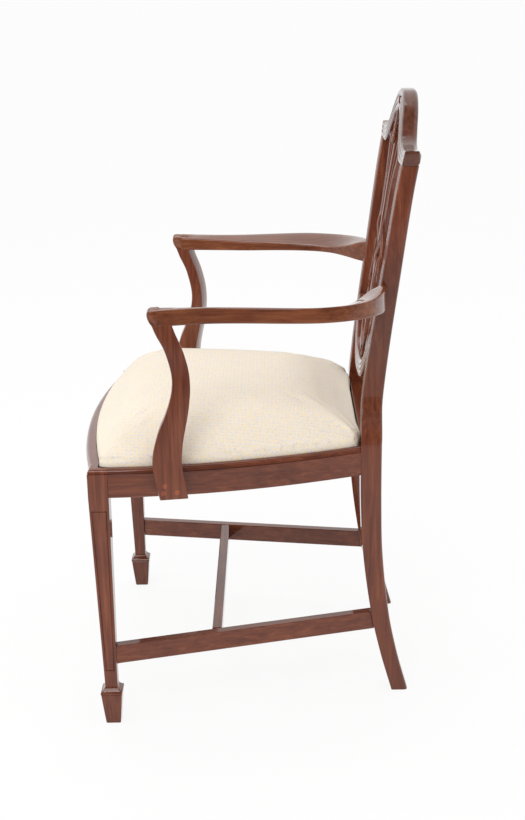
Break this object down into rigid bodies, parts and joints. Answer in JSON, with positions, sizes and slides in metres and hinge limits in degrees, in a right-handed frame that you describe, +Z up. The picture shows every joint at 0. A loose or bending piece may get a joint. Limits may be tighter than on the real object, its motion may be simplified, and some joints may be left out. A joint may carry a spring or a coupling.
{
  "type": "shield back armchair",
  "caption": "Open wooden armchair with a shield shaped back, a pierced interlaced splat, swept dished arms, a lift-out stuffed seat, H stretchers and spade feet.",
  "frame": {"origin": "on the floor under the middle of the chair's outer box", "axes": "+X to the sitter's left, +Y towards the back of the chair, +Z up"},
  "size_m": [0.6152, 0.5436, 0.965],
  "materials": {
    "mahogany": "polished satin",
    "pellet_mahogany": "polished satin",
    "beech": "unfinished",
    "pine": "unfinished",
    "screw_steel": "dull",
    "jute_webbing": "woven",
    "hessian": "open weave",
    "hair_stuffing": "matted fibre",
    "cover_cloth": "small woven check"
  },
  "bodies": {
    "chair_frame": {"front_seat_rail": "mahogany", "rear_seat_rail": "mahogany", "rear_seat_bearer": "beech", "crest_rail": "mahogany", "shield_base_rail": "mahogany", "splat": "mahogany", "cross_stretcher": "mahogany", "front_leg_left": "mahogany", "front_leg_right": "mahogany", "back_post_left": "mahogany", "back_post_right": "mahogany", "side_seat_rail_left": "mahogany", "side_seat_rail_right": "mahogany", "side_stretcher_left": "mahogany", "side_stretcher_right": "mahogany", "arm_support_left": "mahogany", "arm_support_right": "mahogany", "arm_left": "mahogany", "arm_right": "mahogany", "front_corner_block_left": "beech", "front_corner_block_right": "beech", "rear_corner_block_left": "beech", "rear_corner_block_right": "beech", "arm_screw_left": "screw_steel", "arm_screw_right": "screw_steel", "front_block_screw_1_left": "screw_steel", "front_block_screw_1_right": "screw_steel", "front_block_screw_2_left": "screw_steel", "front_block_screw_2_right": "screw_steel", "rear_block_screw_1_left": "screw_steel", "rear_block_screw_1_right": "screw_steel", "rear_block_screw_2_left": "screw_steel", "rear_block_screw_2_right": "screw_steel", "arm_support_screw_1_left": "screw_steel", "arm_support_screw_1_right": "screw_steel", "arm_support_screw_2_left": "screw_steel", "arm_support_screw_2_right": "screw_steel", "arm_support_screw_3_left": "screw_steel", "arm_support_screw_3_right": "screw_steel", "arm_support_pellet_1_left": "pellet_mahogany", "arm_support_pellet_1_right": "pellet_mahogany", "arm_support_pellet_2_left": "pellet_mahogany", "arm_support_pellet_2_right": "pellet_mahogany", "arm_support_pellet_3_left": "pellet_mahogany", "arm_support_pellet_3_right": "pellet_mahogany"},
    "drop_in_seat": {"seat_frame_front": "pine", "seat_frame_back": "pine", "seat_frame_side_left": "pine", "seat_frame_side_right": "pine", "seat_webbing": "jute_webbing", "seat_hessian": "hessian", "seat_stuffing": "hair_stuffing", "seat_cover": "cover_cloth", "seat_bottoming": "hessian"}
  },
  "joints": [
    {"name": "seat_lift", "type": "slide", "parent": "chair_frame", "child": "drop_in_seat", "axis": [0, 0, 1], "range_m": [0, 0.15]}
  ]
}
